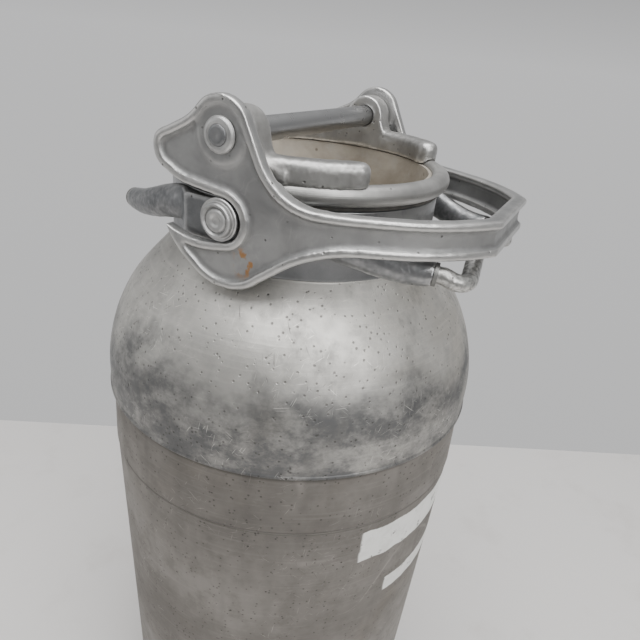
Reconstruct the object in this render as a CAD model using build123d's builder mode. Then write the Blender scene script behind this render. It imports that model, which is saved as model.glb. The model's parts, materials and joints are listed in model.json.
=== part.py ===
"""Aluminium milk churn with a lever-clamped lid.

The can stands on its foot ring with its axis on Z.  The pan-shaped lid sits in the neck.
Two castings on the lid's rolled rim carry a cross bar, and a forked lever turns on that bar.
The lever's two slotted jaws hook under fixed pins on the neck: lifting the front loop swings
the jaws off the pins and pries the lid up.  +X is the front, where the lever's loop is.
"""
import os

from build123d import *

os.makedirs("parts", exist_ok=True)

# Can, from the floor up
SEAM_Z = 400.0          # lower lip of the shoulder dome
SHELL_WALL = 2.5
BASE_R = 127.5
BASE_STRAIGHT = 32.0    # height of the straight stretch behind the foot ring
BAND_Z = SEAM_Z - 47.0  # joint of the lower body and the upper band
BAND_R = 138.4
DOME_R = 140.2
DOME_TOP_Z = SEAM_Z + 112.0
NECK_R = 92.5
NECK_BORE_R = 87.5
NECK_TOP_Z = SEAM_Z + 155.0
FOOT_H = 30.0
FOOT_R = BASE_R + 3.0
FOOT_INNER_R = 119.0
FOOT_FLANGE = 10.0

# Lid
RIM_R = 92.5            # centre circle of the rolled rim
RIM_ROLL = 6.5
RIM_Z = SEAM_Z + 164.0
PAN_R = 86.6
PAN_WALL = 2.5
PAN_FLOOR_Z = NECK_TOP_Z - 36.0
PAN_CORNER = 12.0
SEAL_GAP = 0.3          # gasket to neck, so that the lid is free to lift

# Closure: the cross bar and the fixed pins stand in one plane in front of the can's axis
CLOSURE_X = 4.0
PIVOT_Z = SEAM_Z + 192.0
PIN_Z = SEAM_Z + 146.0
BAR_R = 7.5
JOURNAL_R = 6.0
JOURNAL_FIT = 0.08
EAR_IN, EAR_OUT = 80.0, 98.0
PIN_SHANK_R = 9.5
PIN_FLANGE_R = 12.5
SLOT_R = PIN_FLANGE_R + 0.4
LEVER_Y = 104.5         # middle of each lever plate
WEB = 4.0
BEAD = 10.0             # full width of the edge bead across the plate
BEAD_DEPTH = 5.0        # how far the bead reaches in from the edge
HEAD_GAP = 0.4

# Handles
ROD_R = 5.2
FRONT_REACH = 115.0     # from the closure's plane to the mouth of each socket
REAR_REACH = 104.0
HORN_Y = 64.0
CORNER_Y = 59.0         # where the front rod turns across; the rear one turns a little sooner
REAR_CORNER_Y = 54.0
HORN_Z = SEAM_Z + 130.5


def side_plane(y, x=0.0, z=0.0):
    """A sketch plane across Y, with its local x along X and its local y along Z."""
    return Plane(origin=(x, y, z), x_dir=(1, 0, 0), z_dir=(0, -1, 0))


def save(part, name):
    part.label = name
    export_step(part, f"parts/{name}.step")


# ---------------------------------------------------------------- can
with BuildPart() as foot_ring:
    with BuildSketch(Plane.XZ):
        with BuildLine():
            Polyline(
                (FOOT_INNER_R, 1.5), (FOOT_INNER_R + 1.5, 0), (FOOT_R - 2, 0), (FOOT_R, 2),
                (FOOT_R, FOOT_H - 1.5), (FOOT_R - 1.5, FOOT_H), (BASE_R, FOOT_H),
                (BASE_R, FOOT_FLANGE), (FOOT_INNER_R, FOOT_FLANGE), close=True,
            )
        make_face()
    revolve(axis=Axis.Z)

with BuildPart() as base_dish:
    dish_r = BASE_R - SHELL_WALL
    with BuildSketch(Plane.XZ):
        with BuildLine():
            Polyline(
                (0, 24), (60, 22), (100, 17.5), (dish_r, FOOT_FLANGE + 2), (dish_r, FOOT_FLANGE + 5),
                (100, 20.5), (60, 25), (0, 27), close=True,
            )
        make_face()
    revolve(axis=Axis.Z)

with BuildPart() as body_shell:
    with BuildSketch(Plane.XZ):
        with BuildLine():
            Polyline(
                (BASE_R, FOOT_FLANGE), (BASE_R, BASE_STRAIGHT), (BAND_R, BAND_Z),
                (BAND_R - SHELL_WALL, BAND_Z), (BASE_R - SHELL_WALL, BASE_STRAIGHT),
                (BASE_R - SHELL_WALL, FOOT_FLANGE), close=True,
            )
        make_face()
    revolve(axis=Axis.Z)

with BuildPart() as upper_band:
    with BuildSketch(Plane.XZ):
        with BuildLine():
            Polyline(
                (BAND_R - 2, BAND_Z), (BAND_R, BAND_Z), (BAND_R + 0.5, BAND_Z + 0.6),
                (BAND_R + 0.5, BAND_Z + 4), (DOME_R - 1.9, SEAM_Z - 2), (DOME_R - 1.9, SEAM_Z + 10),
                (DOME_R - 4.2, SEAM_Z + 10), (BAND_R - 2, BAND_Z + 6), close=True,
            )
        make_face()
    revolve(axis=Axis.Z)

with BuildPart() as shoulder_dome:
    neck_edge = (NECK_R, DOME_TOP_Z)
    with BuildSketch(Plane.XZ):
        with BuildLine():
            Line((DOME_R - 1.9, SEAM_Z), (DOME_R, SEAM_Z))
            # the lip of the skirt is a small half-round roll
            ThreePointArc((DOME_R, SEAM_Z), (DOME_R + 1.2, SEAM_Z + 1.4), (DOME_R + 0.2, SEAM_Z + 3.2))
            Spline(
                (DOME_R + 0.2, SEAM_Z + 3.2), (DOME_R - 0.2, SEAM_Z + 24), (DOME_R - 3.4, SEAM_Z + 42),
                (DOME_R - 9.5, SEAM_Z + 60), (DOME_R - 20.6, SEAM_Z + 80), (DOME_R - 44, SEAM_Z + 107),
                neck_edge, tangents=((0.05, 1), (-0.9, 1)),
            )
            Line(neck_edge, (NECK_R, DOME_TOP_Z - 3.2))
            Spline(
                (NECK_R, DOME_TOP_Z - 3.2), (DOME_R - 45.6, SEAM_Z + 105), (DOME_R - 22.3, SEAM_Z + 78.6),
                (DOME_R - 11.7, SEAM_Z + 59), (DOME_R - 5.5, SEAM_Z + 41.2), (DOME_R - 2.4, SEAM_Z + 24),
                (DOME_R - 1.9, SEAM_Z + 10.5), tangents=((0.9, -1), (0.02, -1)),
            )
            Line((DOME_R - 1.9, SEAM_Z + 10.5), (DOME_R - 1.9, SEAM_Z))
        make_face()
    revolve(axis=Axis.Z)

with BuildPart() as neck_ring:
    with BuildSketch(Plane.XZ):
        with BuildLine():
            Polyline(
                (NECK_BORE_R, DOME_TOP_Z - 6), (NECK_R, DOME_TOP_Z - 6), (NECK_R, NECK_TOP_Z - 1.2),
                (NECK_R - 1.2, NECK_TOP_Z), (NECK_BORE_R + 1.2, NECK_TOP_Z),
                (NECK_BORE_R, NECK_TOP_Z - 1.2), close=True,
            )
        make_face()
    revolve(axis=Axis.Z)

# Side castings: a pad on the neck behind each pin, with a tapering horn to front and rear.
# Each horn section: reach from the closure's plane, distance from the can's middle plane,
# height above the seam, half width, half height
HORN_ROOT = [(22, 86, 140.5, 10.0, 12.0), (58, 80, 140.5, 8.5, 11.0), (84, 72, 133, 7.5, 9.5)]
PAD_INNER_Y = 60.0
PAD_LENGTH = 84.0
PAD_LOW_Z = PIN_Z - 18.0
PAD_HEIGHT = 26.0
SOCKET_DEPTH = 16.0


def horn_sections(end):
    mouth = FRONT_REACH if end > 0 else REAR_REACH
    return HORN_ROOT + [(mouth, HORN_Y, HORN_Z - SEAM_Z, 7.5, 7.5)]


def horn_planes(side, end):
    """Planes square to the horn's line at each of its sections."""
    points = [
        Vector(CLOSURE_X + end * reach, side * y, SEAM_Z + z) for reach, y, z, _, _ in horn_sections(end)
    ]
    planes = []
    for i, point in enumerate(points):
        ahead = points[min(i + 1, len(points) - 1)] - points[max(i - 1, 0)]
        across = Vector(0, 0, 1).cross(ahead)
        planes.append(Plane(origin=point, x_dir=across, z_dir=ahead))
    return planes


def side_casting(side):
    with BuildPart() as casting:
        with BuildSketch(Plane.XY.offset(PAD_LOW_Z)):
            with Locations((CLOSURE_X, side * (EAR_OUT + PAD_INNER_Y) / 2)):
                Rectangle(PAD_LENGTH, EAR_OUT - PAD_INNER_Y)
            Circle(NECK_R, mode=Mode.SUBTRACT)
        extrude(amount=PAD_HEIGHT)
        corner_edges = casting.edges().filter_by(Axis.Z).sort_by(Axis.Y)
        chamfer(corner_edges[:2] if side < 0 else corner_edges[-2:], length=9)
        for end in (-1, 1):
            for plane, (_, _, _, half_wide, half_high) in zip(horn_planes(side, end), horn_sections(end)):
                with BuildSketch(plane):
                    Ellipse(half_wide, half_high)
            loft()
        # keep clear of the lever plate, the neck and the rod's seat
        with BuildSketch(Plane.XY.offset(DOME_TOP_Z - 20)):
            Circle(NECK_R)
        extrude(amount=RIM_Z - DOME_TOP_Z + 20, mode=Mode.SUBTRACT)
        for end in (-1, 1):
            mouth = horn_planes(side, end)[-1]
            with BuildSketch(mouth.offset(0.5)):
                Circle(ROD_R)
            extrude(amount=-SOCKET_DEPTH - 0.5, mode=Mode.SUBTRACT)
    return casting.part


near_side_casting = side_casting(-1)
far_side_casting = side_casting(1)

with BuildPart() as clamp_pins:
    for side in (-1, 1):
        face = Plane(origin=(CLOSURE_X, side * EAR_OUT, PIN_Z), x_dir=(1, 0, 0), z_dir=(0, side, 0))
        flange = LEVER_Y + WEB / 2 + HEAD_GAP - EAR_OUT
        with BuildSketch(face):
            Circle(PIN_SHANK_R)
        extrude(amount=flange)
        with BuildSketch(face.offset(flange)):
            Circle(PIN_FLANGE_R)
        extrude(amount=3.2)
        with BuildSketch(face.offset(flange + 3.2)):
            Circle(PIN_SHANK_R + 0.6)
            Circle(6.2, mode=Mode.SUBTRACT)
        extrude(amount=2.4)
        with BuildSketch(face.offset(flange + 1.8)):
            Circle(6.2)
        extrude(amount=2.4)
    rims = clamp_pins.edges().filter_by(GeomType.CIRCLE).filter_by(lambda e: e.radius > PIN_SHANK_R + 0.3)
    chamfer(rims.filter_by(lambda e: abs(e.center().Y) > EAR_OUT + flange + 3), length=0.8)


def handle(end, corner, middle):
    """A rod from the near socket, out and across to the far one.

    corner and middle are (reach from the closure's plane, distance from the can's middle
    plane, drop below the socket's mouth).
    """
    seat = horn_planes(-1, end)[-1]
    start = seat.origin - seat.z_dir * (SOCKET_DEPTH - 1)
    corner, middle = (
        Vector(CLOSURE_X + end * reach, -y, HORN_Z - drop) for reach, y, drop in (corner, middle)
    )
    near_half = [start, seat.origin + seat.z_dir * 6, corner, middle]
    far_half = [Vector(p.X, -p.Y, p.Z) for p in reversed(near_half)]
    with BuildPart() as rod:
        with BuildLine() as path:
            FilletPolyline(*near_half, *far_half, radius=[6, 11, 14, 14, 11, 6])
        with BuildSketch(Plane(origin=start, z_dir=seat.z_dir)):
            Circle(ROD_R)
        sweep(path=path.wires()[0])
    return rod.part


front_handle = handle(1, (134, CORNER_Y, 6), (128, 22, -3))
rear_handle = handle(-1, (114, REAR_CORNER_Y, 4), (114, 15, 5))

with BuildPart() as handle_ferrules:
    for side in (-1, 1):
        for end in (-1, 1):
            with BuildSketch(horn_planes(side, end)[-1]):
                Circle(ROD_R + 1.7)
                Circle(ROD_R, mode=Mode.SUBTRACT)
            extrude(amount=2.2)

# ---------------------------------------------------------------- lid
with BuildPart() as lid_rim:
    with BuildSketch(Plane.XZ):
        with Locations((RIM_R, RIM_Z)):
            Circle(RIM_ROLL)
        with Locations((PAN_R - 5, RIM_Z)):
            Rectangle(10, 2 * RIM_ROLL, mode=Mode.SUBTRACT)
    revolve(axis=Axis.Z)

with BuildPart() as lid_pan:
    with BuildSketch(Plane.XZ):
        with BuildLine():
            FilletPolyline(
                (0, PAN_FLOOR_Z), (PAN_R, PAN_FLOOR_Z), (PAN_R, RIM_Z + 3), radius=PAN_CORNER
            )
            Line((PAN_R, RIM_Z + 3), (PAN_R - PAN_WALL, RIM_Z + 3))
            FilletPolyline(
                (PAN_R - PAN_WALL, RIM_Z + 3), (PAN_R - PAN_WALL, PAN_FLOOR_Z + PAN_WALL),
                (0, PAN_FLOOR_Z + PAN_WALL), radius=PAN_CORNER - PAN_WALL,
            )
            Line((0, PAN_FLOOR_Z + PAN_WALL), (0, PAN_FLOOR_Z))
        make_face()
    revolve(axis=Axis.Z)

with BuildPart() as lid_gasket:
    with BuildSketch(Plane.XZ):
        with Locations(((PAN_R + NECK_R + 0.8) / 2, NECK_TOP_Z + SEAL_GAP + 2.4)):
            Rectangle(NECK_R + 0.8 - PAN_R, 4.8)
        with Locations((RIM_R, RIM_Z)):
            Circle(RIM_ROLL, mode=Mode.SUBTRACT)
    revolve(axis=Axis.Z)

FOOT_SWEEP = 51.0       # half angle of each bracket's curved foot
FOOT_MID_R = 90.0
FOOT_W = 16.0
FOOT_Z = RIM_Z + 3.3
FOOT_TOP = 15.6


def lid_bracket(side):
    ends = [90 * side - FOOT_SWEEP, 90 * side + FOOT_SWEEP]
    with BuildPart() as bracket:
        with BuildSketch(Plane.XY.offset(FOOT_Z)):
            with BuildLine() as foot_line:
                CenterArc((0, 0), FOOT_MID_R, ends[0], 2 * FOOT_SWEEP)
            trace(line_width=FOOT_W)
        extrude(amount=FOOT_TOP)
        fillet(bracket.edges().filter_by(Axis.Z), radius=7)
        fillet(bracket.faces().sort_by(Axis.Z)[-1].edges(), radius=5)
        # ear: a lobe round the bar that flares down into the foot
        with BuildSketch(side_plane(-EAR_IN if side < 0 else EAR_OUT, CLOSURE_X, PIVOT_Z)):
            with BuildLine():
                ThreePointArc((-15, 0), (0, 15), (15, 0))
                ThreePointArc((15, 0), (20, -11), (32, -16))
                Polyline((32, -16), (32, -23), (-32, -23), (-32, -16))
                ThreePointArc((-32, -16), (-20, -11), (-15, 0))
            make_face()
        extrude(amount=EAR_OUT - EAR_IN)
        with BuildSketch(side_plane(EAR_OUT + 2, CLOSURE_X, PIVOT_Z)):
            Circle(BAR_R)
        extrude(amount=2 * EAR_OUT + 4, mode=Mode.SUBTRACT)
        add(lid_rim.part, mode=Mode.SUBTRACT)
        with BuildSketch(Plane.XY.offset(FOOT_Z - 6)):
            Circle(EAR_OUT + 30)
            Circle(EAR_OUT + 1.5, mode=Mode.SUBTRACT)
        extrude(amount=60, mode=Mode.SUBTRACT)
    return bracket.part


near_lid_bracket = lid_bracket(-1)
far_lid_bracket = lid_bracket(1)

with BuildPart() as pivot_bar:
    with BuildSketch(side_plane(EAR_OUT + 0.5, CLOSURE_X, PIVOT_Z)):
        Circle(BAR_R)
    extrude(amount=2 * EAR_OUT + 1)
    with BuildSketch(side_plane(LEVER_Y + 7.4, CLOSURE_X, PIVOT_Z)):
        Circle(JOURNAL_R)
    extrude(amount=2 * LEVER_Y + 14.8)
    chamfer(pivot_bar.edges().sort_by(Axis.Y)[0], length=1.2)
    chamfer(pivot_bar.edges().sort_by(Axis.Y)[-1], length=1.2)

BOSS_R = 16.5
BOSS_IN = EAR_OUT + 2.5
BOSS_OUT = LEVER_Y + WEB / 2 + 1.5
with BuildPart() as pivot_washers:
    for side in (-1, 1):
        seat = Plane(
            origin=(CLOSURE_X, side * (BOSS_OUT + HEAD_GAP), PIVOT_Z), x_dir=(1, 0, 0), z_dir=(0, side, 0)
        )
        with BuildSketch(seat):
            Circle(10.2)
            Circle(JOURNAL_R, mode=Mode.SUBTRACT)
        extrude(amount=2.6)
    outer_rims = pivot_washers.edges().filter_by(GeomType.CIRCLE).filter_by(lambda e: e.radius > 10)
    chamfer(outer_rims.filter_by(lambda e: abs(e.center().Y) > BOSS_OUT + 1), length=1.3)

# ---------------------------------------------------------------- lever
# Plan of one side, from the rear of the plate to the middle of the loop (X, distance from the middle)
LOOP_FRONT = 141.5
LOOP_HALF = 41.0
PLATE_REAR, PLATE_FRONT = -60.0, 38.0
ARM_PLAN = [(66, 98.5), (82, 91.5), (97, 83), (112, 72.5), (125, 60), (LOOP_FRONT - 5, LOOP_HALF + 4)]
ARM_TOP, ARM_LOW = -31.0, -52.5     # edges of the arm, from the pivot's height
SLOT_DROP = PIVOT_Z - PIN_Z
THROUGH = 130.0                     # half width of a cut that takes in both plates


def lever_strip(width):
    """The lever's plan outline as a strip of the given width, over the whole height."""
    with BuildPart() as strip:
        with BuildSketch(Plane.XY.offset(PIVOT_Z - 95)):
            for side in (-1, 1):
                arm = [(x, side * y) for x, y in ARM_PLAN]
                with BuildLine():
                    plate = Line((PLATE_REAR, side * LEVER_Y), (PLATE_FRONT, side * LEVER_Y))
                    Spline(plate @ 1, *arm, tangents=((1, 0), (0.62, -side * 0.9)))
                    Line(arm[-1], (LOOP_FRONT, side * (LOOP_HALF - 5)))
                    Line((LOOP_FRONT, side * (LOOP_HALF - 5)), (LOOP_FRONT, 0))
                trace(line_width=width)
        extrude(amount=130)
    return strip.part


def lever_side(inset):
    """The lever's side outline, pulled in by inset, through the whole width."""
    with BuildPart() as side_block:
        with BuildSketch(side_plane(THROUGH, CLOSURE_X, PIVOT_Z)):
            with BuildLine():
                # over the pivot and down the front edge to the arm's top
                ThreePointArc((-14.5, 14.8), (1.5, 20.8), (17.5, 8.8))
                Line((17.5, 8.8), (25, -6.5))
                ThreePointArc((25, -6.5), (37.5, -22.5), (57, -30.4))
                Polyline((57, -30.4), (74, ARM_TOP), (170, ARM_TOP), (170, ARM_LOW), (82, ARM_LOW))
                # the arm's lower edge runs back into the round of the jaw
                ThreePointArc((82, ARM_LOW), (61, -56.6), (41, -67.5))
                Line((41, -67.5), (28, -77.3))
                ThreePointArc((28, -77.3), (3, -86.6), (-21, -76.5))
                ThreePointArc((-21, -76.5), (-31.5, -67), (-38.4, -56))
                # the slot, open to the rear
                ThreePointArc((-38.4, -56), (-18, -60.9), (1, -SLOT_DROP - SLOT_R))
                ThreePointArc((1, -SLOT_DROP - SLOT_R), (SLOT_R + 1.5, -SLOT_DROP), (1, -SLOT_DROP + SLOT_R))
                Line((1, -SLOT_DROP + SLOT_R), (-23, -30))
                # the nose over the slot
                ThreePointArc((-23, -30), (-30.2, -28.0), (-36.4, -24.8))
                ThreePointArc((-36.4, -24.8), (-45.7, -15.5), (-45, -6))
                ThreePointArc((-45, -6), (-42.2, -3), (-37, -0.5))
                Line((-37, -0.5), (-27, 4.5))
                ThreePointArc((-27, 4.5), (-20, 9), (-14.5, 14.8))
            make_face()
            if inset:
                offset(amount=-inset, mode=Mode.REPLACE)
        extrude(amount=2 * THROUGH)
    return side_block.part


web_strip = lever_strip(WEB)
bead_strip = lever_strip(BEAD)
full_side = lever_side(0)
inner_side = lever_side(BEAD_DEPTH)
edge_bead = (bead_strip & full_side) - inner_side

with BuildPart() as clamp_lever:
    add(web_strip)
    add(full_side, mode=Mode.INTERSECT)
    add(edge_bead)
    # the plates are flush inside, so that they clear the dome and the brackets
    for side in (-1, 1):
        with Locations(((PLATE_REAR + PLATE_FRONT) / 2, side * (LEVER_Y - BEAD / 2 + 0.5), PIVOT_Z - 30)):
            Box(PLATE_FRONT - PLATE_REAR, 3, 140, mode=Mode.SUBTRACT)
        boss = Plane(
            origin=(CLOSURE_X, side * BOSS_IN, PIVOT_Z), x_dir=(1, 0, 0), z_dir=(0, side, 0)
        )
        with BuildSketch(boss):
            Circle(BOSS_R)
        extrude(amount=BOSS_OUT - BOSS_IN)
    with BuildSketch(side_plane(THROUGH, CLOSURE_X, PIVOT_Z)):
        Circle(JOURNAL_R + JOURNAL_FIT)
    extrude(amount=2 * THROUGH, mode=Mode.SUBTRACT)

nodes = {
    "foot_ring": foot_ring.part, "base_dish": base_dish.part, "body_shell": body_shell.part,
    "upper_band": upper_band.part, "shoulder_dome": shoulder_dome.part, "neck_ring": neck_ring.part,
    "near_side_casting": near_side_casting, "far_side_casting": far_side_casting,
    "clamp_pins": clamp_pins.part, "front_handle": front_handle, "rear_handle": rear_handle,
    "handle_ferrules": handle_ferrules.part, "lid_rim": lid_rim.part, "lid_pan": lid_pan.part,
    "lid_gasket": lid_gasket.part, "near_lid_bracket": near_lid_bracket,
    "far_lid_bracket": far_lid_bracket, "pivot_bar": pivot_bar.part,
    "pivot_washers": pivot_washers.part, "clamp_lever": clamp_lever.part,
}
for node_name, node_part in nodes.items():
    save(node_part, node_name)
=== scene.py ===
"""Looks for an aluminium milk churn with a lever-clamped pan lid.

The can, neck, lid pan and rivets are turned from profiles by one Geometry Nodes tree.
The lever, brackets, side castings and rods are skinned over the frame's own solids, so
that their edges are as soft as a sand casting's.  Every finish is worn aluminium.
"""
import json
from math import cos, pi, radians, sin

import bmesh
import bpy
import numpy as np
from mathutils import Matrix, Vector


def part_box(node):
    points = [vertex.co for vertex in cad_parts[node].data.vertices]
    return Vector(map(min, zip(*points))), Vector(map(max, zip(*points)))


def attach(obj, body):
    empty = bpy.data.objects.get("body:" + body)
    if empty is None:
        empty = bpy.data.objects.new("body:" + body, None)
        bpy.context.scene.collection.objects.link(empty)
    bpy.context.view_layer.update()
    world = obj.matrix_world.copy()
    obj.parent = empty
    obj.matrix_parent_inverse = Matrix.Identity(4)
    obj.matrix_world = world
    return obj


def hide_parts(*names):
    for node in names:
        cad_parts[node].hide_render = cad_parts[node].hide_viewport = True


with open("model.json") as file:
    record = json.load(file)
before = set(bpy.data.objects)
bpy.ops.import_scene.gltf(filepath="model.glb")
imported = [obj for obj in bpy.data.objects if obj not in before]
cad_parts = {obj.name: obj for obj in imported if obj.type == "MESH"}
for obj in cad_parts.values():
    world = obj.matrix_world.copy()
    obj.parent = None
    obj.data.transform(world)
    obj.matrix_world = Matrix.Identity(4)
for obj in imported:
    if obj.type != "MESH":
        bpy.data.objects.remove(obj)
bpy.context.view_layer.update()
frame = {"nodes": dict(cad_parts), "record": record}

MM = 0.001
# Heights and radii that the frame gives
SEAM_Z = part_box("shoulder_dome")[0].z
DOME_TOP_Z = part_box("shoulder_dome")[1].z
BAND_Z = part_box("upper_band")[0].z
DOME_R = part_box("upper_band")[1].y + 1.3 * MM
BODY_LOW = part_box("body_shell")[0]
BODY_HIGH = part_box("body_shell")[1]
NECK_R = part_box("neck_ring")[1].y
NECK_TOP_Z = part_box("neck_ring")[1].z
RIM_LOW, RIM_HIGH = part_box("lid_rim")
RIM_ROLL = (RIM_HIGH.z - RIM_LOW.z) / 2
RIM_R = RIM_HIGH.y - RIM_ROLL
RIM_Z = (RIM_HIGH.z + RIM_LOW.z) / 2
PAN_LOW, PAN_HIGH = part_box("lid_pan")
BAR_LOW, BAR_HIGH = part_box("pivot_bar")
BAR_R = (BAR_HIGH.x - BAR_LOW.x) / 2
CLOSURE_X = (BAR_HIGH.x + BAR_LOW.x) / 2
PIVOT_Z = (BAR_HIGH.z + BAR_LOW.z) / 2
PIN_LOW, PIN_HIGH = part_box("clamp_pins")
PIN_Z = (PIN_HIGH.z + PIN_LOW.z) / 2

# start and end angle about the can (0 is the front), low and high edge
PAINTED_BARS = (
    (-37, 30, SEAM_Z - 84 * MM, SEAM_Z - 55 * MM),
    (-24, 17, SEAM_Z - 132 * MM, SEAM_Z - 116 * MM),
)

# colours that several finishes share, as linear red, green and blue
SCRATCH_DIRT = (0.06, 0.055, 0.05)
PIT_DIRT = (0.06, 0.056, 0.05)
# dark grey of the lower dome: handling smudges with painted shade
SMUDGE_AND_SHADE = (0.105, 0.108, 0.112)
PAINT, WORN_PAINT = (0.80, 0.80, 0.77), (0.62, 0.61, 0.57)
RUST = (0.42, 0.20, 0.05)

BODY_OF = {node: body for body, nodes in frame["record"]["behaviour"]["bodies"].items() for node in nodes}
SLOT_OF = {row["node"]: row["material_slot"] for row in frame["record"]["subparts"]}


# ------------------------------------------------------------------ finishes
class Finish:
    """One material's node tree; each method adds nodes and gives back the output to use."""

    def __init__(self, name):
        self.material = bpy.data.materials.new(name)
        self.material.use_nodes = True
        self.tree = self.material.node_tree
        self.shader = self.tree.nodes["Principled BSDF"]
        self.place = self.tree.nodes.new("ShaderNodeTexCoord").outputs["Object"]

    def feed(self, socket, value):
        if isinstance(value, bpy.types.NodeSocket):
            self.tree.links.new(value, socket)
        else:
            socket.default_value = value

    def mapped(self, stretch, turn):
        mapping = self.tree.nodes.new("ShaderNodeMapping")
        self.feed(mapping.inputs["Vector"], self.place)
        mapping.inputs["Scale"].default_value = stretch
        mapping.inputs["Rotation"].default_value = [radians(a) for a in turn]
        return mapping.outputs["Vector"]

    def noise(self, scale, detail=3.0, rough=0.55, stretch=(1, 1, 1), turn=(0, 0, 0), warp=0.0):
        node = self.tree.nodes.new("ShaderNodeTexNoise")
        self.feed(node.inputs["Vector"], self.mapped(stretch, turn))
        node.inputs["Scale"].default_value = scale
        node.inputs["Detail"].default_value = detail
        node.inputs["Roughness"].default_value = rough
        node.inputs["Distortion"].default_value = warp
        return node.outputs["Fac"]

    def cells(self, scale, feature="F1", output="Distance", stretch=(1, 1, 1), turn=(0, 0, 0)):
        node = self.tree.nodes.new("ShaderNodeTexVoronoi")
        node.feature = feature
        self.feed(node.inputs["Vector"], self.mapped(stretch, turn))
        node.inputs["Scale"].default_value = scale
        return node.outputs[output]

    def span(self, value, low, high, to_low=0.0, to_high=1.0):
        node = self.tree.nodes.new("ShaderNodeMapRange")
        node.interpolation_type = "SMOOTHSTEP"
        self.feed(node.inputs["Value"], value)
        node.inputs["From Min"].default_value = low
        node.inputs["From Max"].default_value = high
        node.inputs["To Min"].default_value = to_low
        node.inputs["To Max"].default_value = to_high
        return node.outputs["Result"]

    def math(self, operation, a, b=0.0):
        node = self.tree.nodes.new("ShaderNodeMath")
        node.operation = operation
        self.feed(node.inputs[0], a)
        self.feed(node.inputs[1], b)
        return node.outputs["Value"]

    def product(self, *values):
        result = values[0]
        for value in values[1:]:
            result = self.math("MULTIPLY", result, value)
        return result

    def total(self, *values):
        result = values[0]
        for value in values[1:]:
            result = self.math("ADD", result, value)
        return result

    def blend(self, amount, first, second):
        node = self.tree.nodes.new("ShaderNodeMix")
        node.data_type = "RGBA"
        self.feed(node.inputs["Factor"], amount)
        for socket, colour in ((node.inputs["A"], first), (node.inputs["B"], second)):
            self.feed(socket, colour if isinstance(colour, bpy.types.NodeSocket) else (*colour, 1.0))
        return node.outputs["Result"]

    def axis(self, name):
        node = self.tree.nodes.new("ShaderNodeSeparateXYZ")
        self.feed(node.inputs["Vector"], self.place)
        return node.outputs[name]

    def attribute(self, name):
        node = self.tree.nodes.new("ShaderNodeAttribute")
        node.attribute_name = name
        return node.outputs["Fac"]

    def specks(self, scale, size, share, turn=(0, 0, 0)):
        """Scattered round specks: 1 inside a speck, in the given share of the cells."""
        distance = self.cells(scale, turn=turn)
        pick = self.cells(scale, output="Color", turn=turn)
        chosen = self.span(pick, 1 - share - 0.02, 1 - share + 0.02)
        return self.product(chosen, self.span(distance, size, size * 0.5))

    def scratches(self, scale, turn, fineness=40.0, share=0.07, patch=9.0):
        """Thin straight scratches along one direction, in patches."""
        line = self.noise(scale, 1.0, 0.4, (1, fineness, 1), turn)
        centre = self.math("ABSOLUTE", self.math("SUBTRACT", line, 0.5))
        thin = self.span(centre, share * 0.22, 0.0)
        return self.product(thin, self.span(self.noise(patch, 2.0, 0.5, turn=turn), 0.52, 0.62))

    def strokes(self, scale, tilt, length=14.0, share=0.70, patch=24.0):
        """Short straight scratches on the can's wall, leaning by tilt degrees from level, in patches."""
        around = self.math("MULTIPLY", self.math("ARCTAN2", self.axis("Y"), self.axis("X")), DOME_R)
        flat = self.tree.nodes.new("ShaderNodeCombineXYZ")
        self.feed(flat.inputs["X"], around)
        self.feed(flat.inputs["Y"], self.axis("Z"))
        lean = self.tree.nodes.new("ShaderNodeMapping")
        self.feed(lean.inputs["Vector"], flat.outputs["Vector"])
        lean.vector_type = "TEXTURE"
        lean.inputs["Rotation"].default_value = (0, 0, radians(tilt))
        lean.inputs["Scale"].default_value = (1, 1 / length, 1)
        line = self.tree.nodes.new("ShaderNodeTexNoise")
        self.feed(line.inputs["Vector"], lean.outputs["Vector"])
        line.inputs["Scale"].default_value = scale
        line.inputs["Detail"].default_value = 1.0
        return self.product(
            self.span(line.outputs["Fac"], share, share + 0.06), self.span(self.noise(patch, 2), 0.46, 0.60)
        )

    def finish(self, colour, roughness, metallic, height=None, depth=MM, strength=1.0):
        self.feed(self.shader.inputs["Base Color"], colour)
        self.feed(self.shader.inputs["Roughness"], roughness)
        self.feed(self.shader.inputs["Metallic"], metallic)
        if height is not None:
            bump = self.tree.nodes.new("ShaderNodeBump")
            bump.inputs["Strength"].default_value = strength
            bump.inputs["Distance"].default_value = depth
            self.feed(bump.inputs["Height"], height)
            self.feed(self.shader.inputs["Normal"], bump.outputs["Normal"])
        return self.material


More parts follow.
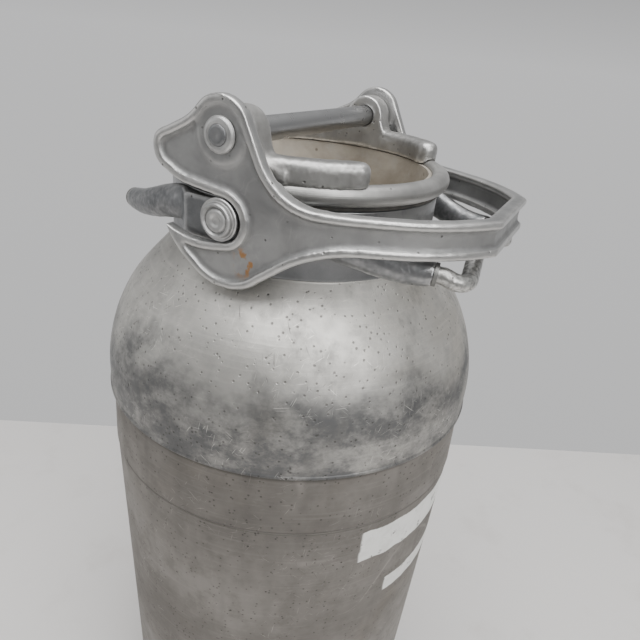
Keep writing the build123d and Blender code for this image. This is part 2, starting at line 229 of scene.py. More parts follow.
def can_finish(name, light, dark, stain, matte=0.0, smudged_and_shaded=False, painted=False):
    """Sheet aluminium that has been knocked about: brushed, stained, scratched and pitted, with painted shade
    and a painted highlight at its seams.
    """
    f = Finish(name)
    z = f.axis("Z")
    cloud = f.noise(9, 5, 0.62)
    mottle = f.noise(60, 5, 0.68)
    brushed = f.noise(16, 3, 0.6, (1, 1, 30))
    runs = f.noise(75, 2, 0.5, (1, 1, 0.04))
    colour = f.blend(f.span(cloud, 0.35, 0.68), light, dark)
    colour = f.blend(f.span(f.noise(5.5, 4, 0.6, warp=0.6), 0.5, 0.66, 0.0, 0.6), colour, stain)
    colour = f.blend(f.span(mottle, 0.47, 0.7, 0.0, 0.6), colour, dark)
    colour = f.blend(f.span(brushed, 0.5, 0.72, 0.0, 0.22), colour, [c * 1.3 for c in light])
    colour = f.blend(f.span(runs, 0.48, 0.80, 0.0, 0.35), colour, [c * 0.72 for c in dark])
    if smudged_and_shaded:
        # handling smudges and painted shade leave the lower half of the dome dark, with a cloudy upper edge
        wander = f.product(f.math("SUBTRACT", f.noise(11, 5, 0.68), 0.5), 0.16)
        low_smudge_and_shade = f.span(f.math("ADD", z, wander), SEAM_Z + 74 * MM, SEAM_Z + 30 * MM)
        patchy = f.span(f.noise(30, 5, 0.75, (1, 1, 1.4)), 0.34, 0.60, 0.45, 1.0)
        colour = f.blend(f.product(low_smudge_and_shade, patchy, 0.88), colour, SMUDGE_AND_SHADE)
        grime = f.span(f.noise(34, 5, 0.75, (1, 1, 0.6)), 0.54, 0.70)
        colour = f.blend(f.product(grime, 0.45), colour, [c * 0.5 for c in dark])
    else:
        # tide marks: the edges of old dried puddles
        tide = f.math("ABSOLUTE", f.math("SUBTRACT", f.noise(5, 1, 0.5, warp=0.4), 0.50))
        faint = f.product(f.span(tide, 0.007, 0.0), f.span(f.noise(8, 2), 0.54, 0.64), 0.3)
        colour = f.blend(faint, colour, [c * 1.9 for c in light])
    marks = f.total(*(
        f.strokes(scale, tilt, length)
        for scale, tilt, length in ((60, 24, 22), (75, -38, 18), (50, 82, 26), (90, 60, 14), (55, 5, 24))
    ))
    colour = f.blend(f.product(marks, 0.5), colour, [c * 1.6 for c in light])
    gouges = f.total(f.strokes(70, 38, 20, 0.73), f.strokes(58, -62, 24, 0.73), f.strokes(80, 100, 16, 0.74))
    colour = f.blend(f.product(gouges, 0.65), colour, SCRATCH_DIRT)
    # painted shadow just under the seam lip of the dome
    painted_shadow_under_lip = f.span(f.math("ABSOLUTE", f.math("SUBTRACT", z, SEAM_Z - 1.2 * MM)), 3.4 * MM, 0.4 * MM)
    colour = f.blend(f.product(painted_shadow_under_lip, 0.6), colour, [c * 0.3 for c in dark])
    # along the lower seam: a band of painted shade and a thin painted highlight on its line
    seam_distance = f.math("ABSOLUTE", f.math("SUBTRACT", z, BAND_Z))
    colour = f.blend(f.product(f.span(seam_distance, 2.2 * MM, 0.6 * MM), 0.45), colour, [c * 0.45 for c in dark])
    colour = f.blend(f.product(f.span(seam_distance, 0.9 * MM, 0.2 * MM), 0.65), colour, [c * 1.5 for c in light])
    pits = f.specks(330, 0.32, 0.34)
    dots = f.specks(150, 0.15, 0.22, (30, 10, 0))
    dirt = f.math("MINIMUM", f.total(f.product(pits, 0.55), f.product(dots, 0.8)), 1.0)
    colour = f.blend(dirt, colour, PIT_DIRT)
    rough = f.total(
        f.span(cloud, 0.3, 0.7, 0.44 + matte, 0.58 + matte), f.span(mottle, 0.3, 0.7, -0.05, 0.07),
        f.product(marks, -0.12),
    )
    metallic = 0.9 - matte
    if painted:
        paint = paint_mask(f)
        white = f.blend(f.span(mottle, 0.45, 0.7, 0.0, 0.5), PAINT, WORN_PAINT)
        colour = f.blend(paint, colour, white)
        rough = f.total(rough, f.product(paint, 0.1))
        metallic = f.span(paint, 0.0, 1.0, metallic, 0.0)
    height = f.total(
        f.product(f.noise(420, 3, 0.6), 0.08), f.product(brushed, 0.05), f.product(mottle, 0.22),
        f.product(f.noise(18, 2), 0.7), f.product(pits, -0.3), f.product(dots, -0.3),
        f.product(gouges, -0.12),
    )
    return f.finish(colour, rough, metallic, height, 0.6 * MM)


def paint_mask(f):
    """Two plain white bars brushed on the front of the wall, chipped and rubbed."""
    angle = f.math("ARCTAN2", f.axis("Y"), f.axis("X"))
    z = f.axis("Z")
    ragged = f.product(f.math("SUBTRACT", f.noise(60, 4, 0.6), 0.5), 0.006)
    bars = []
    for start, end, low, high in PAINTED_BARS:
        across = f.product(
            f.span(f.math("ADD", angle, f.product(ragged, 6)), radians(start - 0.4), radians(start + 0.4)),
            f.span(angle, radians(end + 0.4), radians(end - 0.4)),
        )
        up = f.product(
            f.span(f.math("ADD", z, ragged), low - 0.4 * MM, low + 0.4 * MM),
            f.span(f.math("ADD", z, ragged), high + 0.4 * MM, high - 0.4 * MM),
        )
        bars.append(f.product(across, up))
    chips = f.span(f.noise(90, 5, 0.7), 0.66, 0.60)
    return f.product(f.math("MINIMUM", f.total(*bars), 1.0), chips)


def cast_finish(name, light, dark, bright, pitting=1.0, rust=False, rough_low=0.33):
    """Cast aluminium with dark pores, edges polished by hands and painted shade in the hollows; the vertex
    attribute read here is 1 on a worn edge and 0 in a hollow.
    """
    f = Finish(name)
    wear_and_shade = f.attribute("wear_and_shade")
    grain = f.noise(70, 5, 0.65)
    cloud = f.noise(20, 4, 0.6)
    colour = f.blend(f.span(cloud, 0.35, 0.68), light, dark)
    colour = f.blend(f.span(grain, 0.5, 0.72, 0.0, 0.4), colour, dark)
    # painted shade: the hollows of the casting are darkened
    hollow_shade = f.span(wear_and_shade, 0.45, 0.15)
    colour = f.blend(f.product(hollow_shade, 0.35), colour, [c * 0.5 for c in dark])
    polish = f.product(f.span(wear_and_shade, 0.54, 0.85), f.span(grain, 0.30, 0.52, 0.45, 1.0))
    colour = f.blend(polish, colour, bright)
    pores = f.specks(330, 0.30, 0.14 * pitting, (12, 40, 5))
    colour = f.blend(f.product(pores, 0.75), colour, (0.06, 0.058, 0.055))
    marks = f.total(f.scratches(22, (10, 60, 30), 90, 0.05), f.scratches(30, (0, 20, 80), 70, 0.05))
    colour = f.blend(f.product(marks, 0.12), colour, bright)
    if rust:
        near_jaw = f.product(
            f.span(f.axis("Z"), PIN_Z - 34 * MM, PIN_Z - 26 * MM),
            f.span(f.axis("Z"), PIN_Z - 12 * MM, PIN_Z - 17 * MM),
            f.span(f.axis("X"), 12 * MM, 18 * MM), f.span(f.axis("X"), 34 * MM, 27 * MM),
            f.span(f.noise(120, 3, 0.6, (1, 1, 0.7)), 0.54, 0.62),
        )
        colour = f.blend(f.product(near_jaw, 0.8), colour, RUST)
    rough = f.total(
        f.span(grain, 0.3, 0.7, rough_low + 0.06, rough_low + 0.2), f.product(polish, -0.16),
        f.product(hollow_shade, 0.12),
    )
    height = f.total(
        f.product(f.noise(500, 3, 0.6), 0.10), f.product(grain, 0.35 * pitting), f.product(pores, -0.4),
        f.product(marks, -0.06),
    )
    return f.finish(colour, rough, 0.92, height, 0.5 * MM)


def pan_finish():
    """Inside of the lid pan: milk-stained brown over grey metal."""
    f = Finish("stained_pan")
    cloud = f.noise(14, 5, 0.65, warp=0.4)
    colour = f.blend(f.span(cloud, 0.35, 0.66), (0.47, 0.43, 0.37), (0.30, 0.27, 0.225))
    colour = f.blend(f.span(f.noise(60, 4, 0.6), 0.5, 0.7, 0.0, 0.5), colour, (0.42, 0.40, 0.37))
    spots = f.specks(180, 0.3, 0.12)
    colour = f.blend(f.product(spots, 0.6), colour, (0.09, 0.07, 0.05))
    height = f.total(f.product(f.noise(300, 3), 0.2), f.product(cloud, 0.3), f.product(spots, -0.3))
    return f.finish(colour, f.span(cloud, 0.3, 0.7, 0.5, 0.68), 0.6, height, 0.5 * MM)


def rubber_finish():
    f = Finish("gasket_rubber")
    grain = f.noise(300, 3)
    colour = f.blend(f.span(f.noise(40, 4), 0.4, 0.7), (0.03, 0.028, 0.026), (0.075, 0.07, 0.06))
    return f.finish(colour, f.span(grain, 0.3, 0.7, 0.6, 0.8), 0.0, grain, 0.2 * MM)


def turned_finish(name, light, dark, bright):
    """Rivet heads and the bar: turning and hammer marks run round or along the Y axis; hollows get painted
    shade.
    """
    f = Finish(name)
    wear_and_shade = f.attribute("wear_and_shade")
    grain = f.noise(90, 4, 0.6)
    lines = f.noise(60, 3, 0.6, (1, 0.08, 1))
    colour = f.blend(f.span(grain, 0.35, 0.7), light, dark)
    colour = f.blend(f.span(lines, 0.5, 0.7, 0.0, 0.35), colour, bright)
    polish = f.product(f.span(wear_and_shade, 0.53, 0.7), 0.8)
    # painted shade in the hollows of the rivet heads and bar
    hollow_shade = f.span(wear_and_shade, 0.46, 0.32)
    colour = f.blend(polish, colour, bright)
    colour = f.blend(f.product(hollow_shade, 0.8), colour, [c * 0.35 for c in dark])
    pores = f.specks(300, 0.28, 0.12)
    colour = f.blend(f.product(pores, 0.7), colour, (0.05, 0.05, 0.05))
    rough = f.total(f.span(grain, 0.3, 0.7, 0.36, 0.5), f.product(polish, -0.12))
    height = f.total(f.product(grain, 0.3), f.product(lines, 0.15), f.product(pores, -0.35))
    return f.finish(colour, rough, 0.92, height, 0.4 * MM)


FINISHES = {
    "can_aluminium": can_finish(
        "can_aluminium", (0.27, 0.255, 0.235), (0.19, 0.178, 0.163), (0.235, 0.21, 0.18), 0.12, painted=True
    ),
    "dome_aluminium": can_finish(
        "dome_aluminium", (0.64, 0.625, 0.585), (0.42, 0.41, 0.39), (0.50, 0.47, 0.415), smudged_and_shaded=True
    ),
    "dark_casting": cast_finish(
        "dark_casting", (0.22, 0.225, 0.23), (0.13, 0.135, 0.14), (0.36, 0.36, 0.36), 0.8
    ),
    "bright_rivet": turned_finish(
        "bright_rivet", (0.52, 0.52, 0.51), (0.36, 0.36, 0.355), (0.80, 0.80, 0.79)
    ),
    "handle_rod": cast_finish(
        "handle_rod", (0.36, 0.355, 0.34), (0.20, 0.20, 0.195), (0.60, 0.595, 0.57), 1.8
    ),
    "lid_aluminium": cast_finish(
        "lid_aluminium", (0.50, 0.495, 0.48), (0.34, 0.335, 0.325), (0.68, 0.675, 0.65), 1.2
    ),
    "stained_pan": pan_finish(),
    "gasket_rubber": rubber_finish(),
    "lid_casting": cast_finish(
        "lid_casting", (0.44, 0.435, 0.42), (0.27, 0.265, 0.255), (0.62, 0.615, 0.60), 1.8
    ),
    "bar_steel": turned_finish(
        "bar_steel", (0.24, 0.245, 0.25), (0.17, 0.175, 0.18), (0.34, 0.34, 0.34)
    ),
    "lever_casting": cast_finish(
        "lever_casting", (0.40, 0.40, 0.395), (0.27, 0.27, 0.268), (0.55, 0.545, 0.53), 1.1, rust=True
    ),
}


# ------------------------------------------------------------------ shapes
def smooth_through(points, steps=6):
    """Points on a smooth line through the given ones (Catmull-Rom)."""
    before = 2 * Vector(points[0]) - Vector(points[1])
    after = 2 * Vector(points[-1]) - Vector(points[-2])
    ends = [before, *map(Vector, points), after]
    line = []
    for a, b, c, d in zip(ends, ends[1:], ends[2:], ends[3:]):
        for i in range(steps):
            t = i / steps
            square, cube = 2 * a - 5 * b + 4 * c - d, 3 * b - a - 3 * c + d
            line.append(0.5 * (2 * b + (c - a) * t + square * t * t + cube * t**3))
    return [tuple(p) for p in line] + [tuple(points[-1])]


def turning_tree():
    """Geometry Nodes: turns a profile of (radius, 0, height) points round Z."""
    tree = bpy.data.node_groups.new("turned_profile", "GeometryNodeTree")
    face = tree.interface
    face.new_socket("Profile", in_out="INPUT", socket_type="NodeSocketGeometry")
    for name, kind, default in (
        ("Segments", "NodeSocketInt", 160), ("Corner Radius", "NodeSocketFloat", 0.5 * MM),
        ("Waviness", "NodeSocketFloat", 0.0), ("Seed", "NodeSocketFloat", 1.0),
    ):
        face.new_socket(name, in_out="INPUT", socket_type=kind).default_value = default
    face.new_socket("Finish", in_out="INPUT", socket_type="NodeSocketMaterial")
    face.new_socket("Turned", in_out="OUTPUT", socket_type="NodeSocketGeometry")
    add, link = tree.nodes.new, tree.links.new
    given = add("NodeGroupInput").outputs
    circle_r = 1.0
    position, split, shift, join = (
        add("GeometryNodeInputPosition"), add("ShaderNodeSeparateXYZ"), add("ShaderNodeMath"),
        add("ShaderNodeCombineXYZ"),
    )
    flip = add("ShaderNodeMath")
    shift.operation, flip.operation = "SUBTRACT", "MULTIPLY"
    shift.inputs[1].default_value, flip.inputs[1].default_value = circle_r, -1.0
    link(position.outputs[0], split.inputs[0])
    link(split.outputs["X"], shift.inputs[0])
    link(split.outputs["Z"], flip.inputs[0])
    link(shift.outputs[0], join.inputs["X"])
    link(flip.outputs[0], join.inputs["Y"])
    place = add("GeometryNodeSetPosition")
    link(given["Profile"], place.inputs["Geometry"])
    link(join.outputs[0], place.inputs["Position"])
    curve, round_off, circle, sweep = (
        add("GeometryNodeMeshToCurve"), add("GeometryNodeFilletCurve"),
        add("GeometryNodeCurvePrimitiveCircle"), add("GeometryNodeCurveToMesh"),
    )
    round_off.mode = "POLY"
    round_off.inputs["Count"].default_value = 3
    round_off.inputs["Limit Radius"].default_value = True
    circle.inputs["Radius"].default_value = circle_r
    link(place.outputs[0], curve.inputs["Mesh"])
    link(curve.outputs[0], round_off.inputs["Curve"])
    link(given["Corner Radius"], round_off.inputs["Radius"])
    link(given["Segments"], circle.inputs["Resolution"])
    link(circle.outputs[0], sweep.inputs["Curve"])
    link(round_off.outputs[0], sweep.inputs["Profile Curve"])
    # slow dents, pushed in and out along the surface's normal
    dents, centred, amount, normal, push, dent = (
        add("ShaderNodeTexNoise"), add("ShaderNodeMath"), add("ShaderNodeMath"),
        add("GeometryNodeInputNormal"), add("ShaderNodeVectorMath"), add("GeometryNodeSetPosition"),
    )
    dents.noise_dimensions = "4D"
    dents.inputs["Scale"].default_value = 11.0
    dents.inputs["Detail"].default_value = 1.0
    centred.operation, amount.operation, push.operation = "SUBTRACT", "MULTIPLY", "SCALE"
    centred.inputs[1].default_value = 0.5
    link(given["Seed"], dents.inputs["W"])
    link(dents.outputs["Fac"], centred.inputs[0])
    link(centred.outputs[0], amount.inputs[0])
    link(given["Waviness"], amount.inputs[1])
    link(normal.outputs[0], push.inputs[0])
    link(amount.outputs[0], push.inputs["Scale"])
    link(push.outputs[0], dent.inputs["Offset"])
    merge, smooth, real, paint = (
        add("GeometryNodeMergeByDistance"), add("GeometryNodeSetShadeSmooth"),
        add("GeometryNodeRealizeInstances"), add("GeometryNodeSetMaterial"),
    )
    merge.inputs["Distance"].default_value = 0.005 * MM
    # corners that meet are joined first, so that a dent can't pull them apart
    link(sweep.outputs[0], merge.inputs["Geometry"])
    link(merge.outputs[0], dent.inputs["Geometry"])
    link(dent.outputs[0], smooth.inputs["Geometry"])
    link(smooth.outputs[0], real.inputs["Geometry"])
    link(real.outputs[0], paint.inputs["Geometry"])
    link(given["Finish"], paint.inputs["Material"])
    link(paint.outputs[0], add("NodeGroupOutput").inputs[0])
    return tree


TURNING = turning_tree()


def set_input(modifier, name, value):
    for item in modifier.node_group.interface.items_tree:
        if item.item_type == "SOCKET" and item.in_out == "INPUT" and item.name == name:
            modifier[item.identifier] = value


def baked(obj):
    """The object's evaluated mesh in place of its own, with no modifier left."""
    graph = bpy.context.evaluated_depsgraph_get()
    mesh = bpy.data.meshes.new_from_object(obj.evaluated_get(graph), depsgraph=graph)
    obj.modifiers.clear()
    obj.data = mesh
    return obj


def outward(mesh):
    """Turns a closed mesh right side out."""
    count = len(mesh.vertices)
    co = np.empty(count * 3)
    mesh.vertices.foreach_get("co", co)
    co = co.reshape(-1, 3)
    mesh.calc_loop_triangles()
    tris = np.empty(len(mesh.loop_triangles) * 3, int)
    mesh.loop_triangles.foreach_get("vertices", tris)
    a, b, c = (co[tris.reshape(-1, 3)[:, i]] for i in range(3))
    if np.einsum("ij,ij->", a, np.cross(b, c)) < 0:
        mesh.flip_normals()


def add_wear_and_shade(obj, spread=6, scale=1.0):
    """Vertex attribute for edge wear and painted hollow shade: 0.5 on flat ground, towards 1 on ridges and 0
    in hollows.
    """
    mesh = obj.data
    count = len(mesh.vertices)
    co, normals = np.empty(count * 3), np.empty(count * 3)
    mesh.vertices.foreach_get("co", co)
    mesh.vertices.foreach_get("normal", normals)
    co, normals = co.reshape(-1, 3), normals.reshape(-1, 3)
    edges = np.empty(len(mesh.edges) * 2, int)
    mesh.edges.foreach_get("vertices", edges)
    a, b = edges.reshape(-1, 2).T
    degree = np.maximum(np.bincount(a, minlength=count) + np.bincount(b, minlength=count), 1)[:, None]
    soft = co.copy()
    for _ in range(spread):
        pulled = np.zeros_like(soft)
        np.add.at(pulled, a, soft[b])
        np.add.at(pulled, b, soft[a])
        soft = 0.5 * soft + 0.5 * pulled / degree
    ridge = np.einsum("ij,ij->i", co - soft, normals) / MM
    wear_and_shade = np.clip(0.5 + ridge * scale, 0, 1).astype(np.float32)
    mesh.attributes.new("wear_and_shade", "FLOAT", "POINT").data.foreach_set("value", wear_and_shade)


def place_piece(obj, nodes, name=None):
    nodes = [nodes] if isinstance(nodes, str) else nodes
    obj.name = name or nodes[0] + "_skin"
    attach(obj, BODY_OF[nodes[0]])
    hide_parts(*nodes)
    return obj


def drop_wires(mesh):
    """Takes away the bare edges that a profile's run along the axis leaves."""
    shell = bmesh.new()
    shell.from_mesh(mesh)
    bmesh.ops.delete(shell, geom=[edge for edge in shell.edges if not edge.link_faces], context="EDGES")
    shell.to_mesh(mesh)
    shell.free()


def turned(name, profiles, node, segments=160, corner=0.5, waviness=0.0, places=(Matrix.Identity(4),)):
    """A piece turned from closed profiles of (radius, height) in metres, once at each place."""
    finish = FINISHES[SLOT_OF[node]]
    mesh = bpy.data.meshes.new(name)
    vertices, edges = [], []
    for profile in profiles:
        first = len(vertices)
        vertices += [(r, 0.0, z) for r, z in profile]
        edges += [(first + i, first + (i + 1) % len(profile)) for i in range(len(profile))]
    mesh.from_pydata(vertices, edges, [])
    obj = bpy.data.objects.new(name, mesh)
    bpy.context.scene.collection.objects.link(obj)
    modifier = obj.modifiers.new("turn", "NODES")
    modifier.node_group = TURNING
    set_input(modifier, "Segments", segments)
    set_input(modifier, "Corner Radius", corner * MM)
    set_input(modifier, "Waviness", waviness * MM)
    set_input(modifier, "Seed", float(len(name)))
    set_input(modifier, "Finish", finish)
    baked(obj)
    drop_wires(obj.data)
    outward(obj.data)
    if len(places) > 1 or places[0] != Matrix.Identity(4):
        one = obj.data
        parts = [one.copy() for _ in places]
        for part, place in zip(parts, places):
            part.transform(place)
            if place.determinant() < 0:
                part.flip_normals()
        obj.data = joined(parts, finish)
    add_wear_and_shade(obj)
    return place_piece(obj, node, name)


def joined(parts, finish):
    """One mesh from several."""
    vertices, faces = [], []
    for part in parts:
        first = len(vertices)
        vertices += [v.co[:] for v in part.vertices]
        faces += [[first + i for i in p.vertices] for p in part.polygons]
    mesh = bpy.data.meshes.new("joined")
    mesh.from_pydata(vertices, [], faces)
    mesh.shade_smooth()
    mesh.materials.append(finish)
    return mesh


def cast_skin(node, voxel=0.9, softness=8, roughness=0.12, grain=9.0, wear_and_shade_scale=2.2):
    """The frame's solid with the soft edges and uneven skin of a casting."""
    source = frame["nodes"][node]
    mesh = source.data.copy()
    obj = bpy.data.objects.new(node + "_skin", mesh)
    bpy.context.scene.collection.objects.link(obj)
    seam_distance = obj.modifiers.new("seam_distance", "WELD")
    seam_distance.merge_threshold = 0.01 * MM
    skin = obj.modifiers.new("skin", "REMESH")
    skin.mode, skin.voxel_size, skin.use_smooth_shade = "VOXEL", voxel * MM, True
    soften = obj.modifiers.new("soften", "SMOOTH")
    soften.factor, soften.iterations = 0.5, softness
    if roughness:
        clouds = bpy.data.textures.new(node + "_clouds", "CLOUDS")
        clouds.noise_scale, clouds.noise_depth = grain * MM, 2
        uneven = obj.modifiers.new("uneven", "DISPLACE")
        uneven.texture, uneven.strength, uneven.mid_level = clouds, roughness * MM, 0.62
    baked(obj)
    obj.data.materials.clear()
    obj.data.materials.append(FINISHES[SLOT_OF[node]])
    obj.data.shade_smooth()
    add_wear_and_shade(obj, 10, wear_and_shade_scale)
    return place_piece(obj, node)


# ------------------------------------------------------------------ can
def can_shells():
    wall = 2.2 * MM
    base_r, base_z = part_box("base_dish")[1].y + 2.5 * MM, BODY_LOW.z
    band_r = BODY_HIGH.y
    straight = base_z + 22 * MM
    sheet = [
        (base_r, base_z), (base_r, straight), *[
            (base_r + (band_r - base_r) * t, straight + (BAND_Z - straight) * t) for t in (0.25, 0.5, 0.75)
        ], (band_r, BAND_Z - 0.3 * MM),
    ]
    inside = [(r - wall, z) for r, z in reversed(sheet)]
    turned("lower_body", [sheet + inside], "body_shell", segments=200, corner=0.6, waviness=0.5)
    edge_r = DOME_R - 2 * MM
    band = [
        (band_r - 2 * MM, BAND_Z + 0.3 * MM), (band_r + 0.1 * MM, BAND_Z + 0.3 * MM),
        (band_r + 0.6 * MM, BAND_Z + 1.6 * MM), (band_r + 0.5 * MM, BAND_Z + 5 * MM),
        (edge_r, SEAM_Z - 2 * MM), (edge_r, SEAM_Z + 10 * MM),
        (edge_r - wall, SEAM_Z + 10 * MM), (band_r - 2 * MM, BAND_Z + 6 * MM),
    ]
    turned("shoulder_band", [band], "upper_band", segments=200, corner=0.5, waviness=0.3)


def dome():
    # (inwards from the seam's radius, above the seam) in millimetres, up the outside
    outer = [(-0.1, 5), (0.2, 24), (3.4, 42), (9.5, 60), (20.6, 80), (44, 107), (47.6, 111.6)]
    outer = smooth_through([(DOME_R - i * MM, SEAM_Z + z * MM, 0) for i, z in outer])
    inner = [(r - 1.9 * MM, z - 1.2 * MM) for r, z, _ in reversed(outer[3:])]
    lip = [(0.0, 2.8), (-0.5, 2.0), (-0.75, 1.0), (-0.3, 0.1), (0.6, 0.0), (1.7, 0.0)]
    lip = [(DOME_R - i * MM, SEAM_Z + z * MM) for i, z in lip]
    profile = [(r, z) for r, z, _ in outer] + inner + list(reversed(lip))
    turned("shoulder_dome_skin", [profile], "shoulder_dome", segments=220, corner=0.4, waviness=0.7)


def neck():
    bore, low = NECK_R - 5 * MM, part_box("neck_ring")[0].z
    flare = [(NECK_R, DOME_TOP_Z + 2 * MM), (NECK_R, DOME_TOP_Z + 1 * MM)]
    profile = [
        (bore, low), (NECK_R, low), *reversed(flare), (NECK_R, NECK_TOP_Z - 1 * MM),
        (NECK_R - 1 * MM, NECK_TOP_Z), (bore + 1 * MM, NECK_TOP_Z), (bore, NECK_TOP_Z - 1 * MM),
    ]
    turned("neck_tube", [profile], "neck_ring", segments=160, corner=0.6, waviness=0.2)


# ------------------------------------------------------------------ lid
def lid():
    roll = [
        (RIM_R + RIM_ROLL * cos(a), RIM_Z + RIM_ROLL * sin(a))
        for a in (radians(d) for d in range(-150, 151, 10))
    ]
    turned("rolled_rim", [roll], "lid_rim", segments=200, corner=0.3, waviness=0.5)
    pan_r, wall, corner = PAN_HIGH.y, 2.4 * MM, 12 * MM
    bend = [
        (pan_r - corner + corner * sin(a), PAN_LOW.z + corner - corner * cos(a))
        for a in (radians(d) for d in range(0, 91, 10))
    ]
    inside = [(r - wall, z + wall * (1 if r < pan_r - corner / 2 else 0.6)) for r, z in bend]
    low, floor_z, centre = PAN_LOW.z, PAN_LOW.z + wall, 0.2 * MM
    profile = [
        (0, low), (centre, low), *bend, (pan_r, PAN_HIGH.z), (pan_r - wall, PAN_HIGH.z), *reversed(inside),
        (centre, floor_z), (0, floor_z),
    ]
    turned("pan", [profile], "lid_pan", segments=160, corner=0.5, waviness=0.4)


# ------------------------------------------------------------------ closure
def rivets():
    """Clamp pin heads: a flange, a ring and a dished centre, on both sides."""
    sides = [
        Matrix.Translation((CLOSURE_X, 0, PIN_Z)) @ Matrix.Rotation(side * pi / 2, 4, "X") for side in (1, -1)
    ]
    out = PIN_HIGH.y
    head = [
        (0, 1.7), (0.2, 1.7), (2.4, 1.5), (3.8, 0.5), (5.6, 0.4), (6.7, 1.2), (7.1, 2.2), (7.7, 1.2),
        (8.5, 0.2), (9.5, 0.4), (10.0, 1.4), (10.3, 3.4), (10.9, 3.6), (11.9, 3.3), (12.5, 4.0),
        (12.5, 5.4), (12.0, 5.9), (9.5, 6.0),
        (9.5, 15.5), (0.2, 15.5), (0, 15.5),
    ]
    turned(
        "pin_heads", [[(r * MM, out - z * MM) for r, z in head]], "clamp_pins",
        segments=72, corner=0.35, waviness=0.0, places=sides,
    )
    sides = [
        Matrix.Translation((CLOSURE_X, 0, PIVOT_Z)) @ Matrix.Rotation(side * pi / 2, 4, "X")
        for side in (1, -1)
    ]
    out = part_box("pivot_washers")[1].y
    head = [(5.2, 0.9), (5.9, 0.35), (7.2, 0.1), (8.6, 0.5), (9.6, 1.3), (10.0, 2.2), (10.1, 2.6), (5.2, 2.6)]
    turned(
        "rivet_collars", [[(r * MM, out - z * MM) for r, z in head]], "pivot_washers",
        segments=64, corner=0.3, waviness=0.0, places=sides,
    )


def cross_bar():
    end, shoulder, journal = BAR_HIGH.y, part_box("near_lid_bracket")[0].y, 5.95 * MM
    half = [
        (0, end), (0.2 * MM, end), (journal * 0.72, end - 0.1 * MM), (journal * 0.93, end - 0.7 * MM),
        (journal, end - 1.8 * MM), (journal, -shoulder), (BAR_R, -shoulder),
    ]
    mirror = [(r, -y) for r, y in reversed(half)]
    place = Matrix.Translation((CLOSURE_X, 0, PIVOT_Z)) @ Matrix.Rotation(pi / 2, 4, "X")
    turned("cross_bar", [half + mirror], "pivot_bar", segments=64, corner=0.4, waviness=0.25, places=[place])


def castings():
    cast_skin("clamp_lever", 0.95, 22, 0.3, 9, wear_and_shade_scale=1.6)
    for node in ("near_lid_bracket", "far_lid_bracket"):
        cast_skin(node, 0.9, 30, 0.6, 7, wear_and_shade_scale=1.2)
    for node in ("near_side_casting", "far_side_casting"):
        cast_skin(node, 0.9, 12, 0.5, 8)
    for node in ("front_handle", "rear_handle"):
        cast_skin(node, 0.7, 3, 0.45, 3.5)


def leftover_nodes():
    """Frame solids whose own shape is right keep it and only take a finish."""
    for node, obj in frame["nodes"].items():
        if not obj.hide_render:
            obj.data.materials.clear()
            obj.data.materials.append(FINISHES[SLOT_OF[node]])


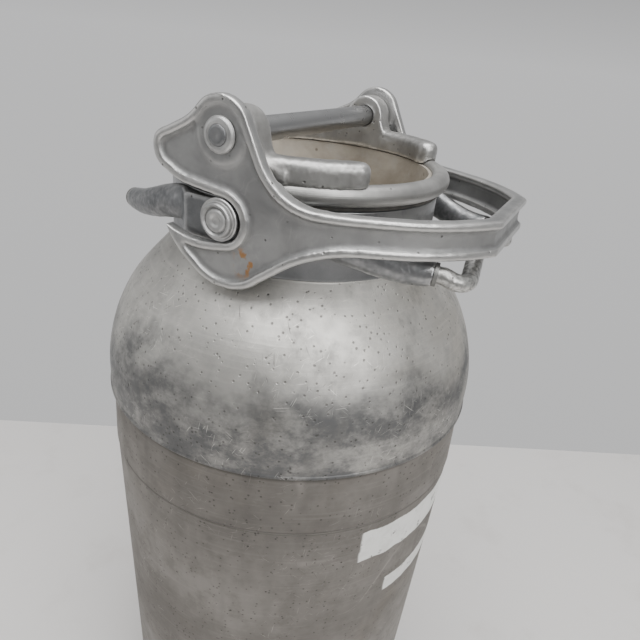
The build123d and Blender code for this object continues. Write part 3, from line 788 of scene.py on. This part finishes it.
# ------------------------------------------------------------------ studio
def studio():
    floor_mesh = bpy.data.meshes.new("floor")
    # the sheet ends a little behind the can, where the pale wall starts
    back_left, back_right = Vector((-0.632, 0.129, 0)), Vector((0.382, 0.709, 0))
    along = (back_right - back_left).normalized()
    front = Vector((along.y, -along.x, 0)) * 1.8
    low = Vector((0, 0, -0.05 * MM))
    corners = [back_left - along * 0.8, back_right + along * 0.8]
    ring = [corner + shift + low for corner, shift in (
        (corners[0], front), (corners[1], front), (corners[1], Vector()), (corners[0], Vector())
    )]
    floor_mesh.from_pydata(ring, [], [(0, 1, 2, 3)])
    floor = bpy.data.objects.new("floor", floor_mesh)
    bpy.context.scene.collection.objects.link(floor)
    paper = Finish("floor_paper")
    marks = paper.span(paper.noise(9, 5, 0.6), 0.52, 0.7)
    floor_mesh.materials.append(paper.finish(
        paper.blend(paper.product(marks, 0.4), (0.74, 0.72, 0.70), (0.62, 0.59, 0.56)), 0.75, 0.0,
    ))

    world = bpy.data.worlds.new("studio")
    world.use_nodes = True
    nodes, links = world.node_tree.nodes, world.node_tree.links
    place, split = nodes.new("ShaderNodeTexCoord"), nodes.new("ShaderNodeSeparateXYZ")
    ramp = nodes.new("ShaderNodeValToRGB")
    links.new(place.outputs["Generated"], split.inputs[0])
    lift = nodes.new("ShaderNodeMapRange")
    lift.inputs["From Min"].default_value = -1.0
    links.new(split.outputs["Z"], lift.inputs["Value"])
    links.new(lift.outputs["Result"], ramp.inputs[0])
    stops = ((0.0, 0.62), (0.5, 0.68), (0.6, 0.34), (0.8, 0.6), (1.0, 1.2))
    ramp.color_ramp.elements.remove(ramp.color_ramp.elements[1])
    ramp.color_ramp.elements[0].color = (stops[0][1],) * 3 + (1,)
    for where, level in stops[1:]:
        ramp.color_ramp.elements.new(where).color = (level, level, level * 1.01, 1)
    # the room is dimmer on the side away from the wall
    facing = nodes.new("ShaderNodeVectorMath")
    facing.operation = "DOT_PRODUCT"
    facing.inputs[1].default_value = (-0.43, 0.90, 0)
    links.new(place.outputs["Generated"], facing.inputs[0])
    shade = nodes.new("ShaderNodeMapRange")
    for name, value in (("From Min", -0.7), ("From Max", 0.35), ("To Min", 0.38), ("To Max", 1.0)):
        shade.inputs[name].default_value = value
    links.new(facing.outputs["Value"], shade.inputs["Value"])
    links.new(ramp.outputs[0], nodes["Background"].inputs["Color"])
    links.new(shade.outputs["Result"], nodes["Background"].inputs["Strength"])
    bpy.context.scene.world = world

    for name, where, size, power in (
        ("overhead_softbox", (0.15, -0.3, 1.7), 1.2, 24), ("right_softbox", (1.15, -0.75, 1.2), 0.9, 12),
        ("left_fill", (-1.2, -0.9, 0.9), 0.9, 2.0),
    ):
        light = bpy.data.lights.new(name, "AREA")
        light.size, light.energy = size, power
        lamp = bpy.data.objects.new(name, light)
        lamp.location = where
        aim = Vector((0, 0, SEAM_Z + 0.05)) - lamp.location
        lamp.rotation_euler = aim.to_track_quat("-Z", "Y").to_euler()
        bpy.context.scene.collection.objects.link(lamp)


def camera():
    """Close to the lid, looking down on it from the front left, tilted as if held by hand."""
    heading, drop, roll = radians(25.22), radians(25.72), radians(5.94)
    forward = Vector((-sin(heading) * cos(drop), cos(heading) * cos(drop), -sin(drop)))
    level = forward.cross(Vector((0, 0, 1))).normalized()
    right = Matrix.Rotation(-roll, 3, forward) @ level
    up = right.cross(forward)
    data = bpy.data.cameras.new("camera")
    data.sensor_width, data.lens = 36.0, 32.06
    data.clip_start = 0.01
    eye = bpy.data.objects.new("camera", data)
    turn = Matrix((right, up, -forward)).transposed()
    eye.matrix_world = Matrix.Translation((0.1925, -0.3619, SEAM_Z + 0.2397)) @ turn.to_4x4()
    bpy.context.scene.collection.objects.link(eye)
    bpy.context.scene.camera = eye


can_shells()
dome()
neck()
lid()
rivets()
cross_bar()
castings()
leftover_nodes()
studio()
camera()
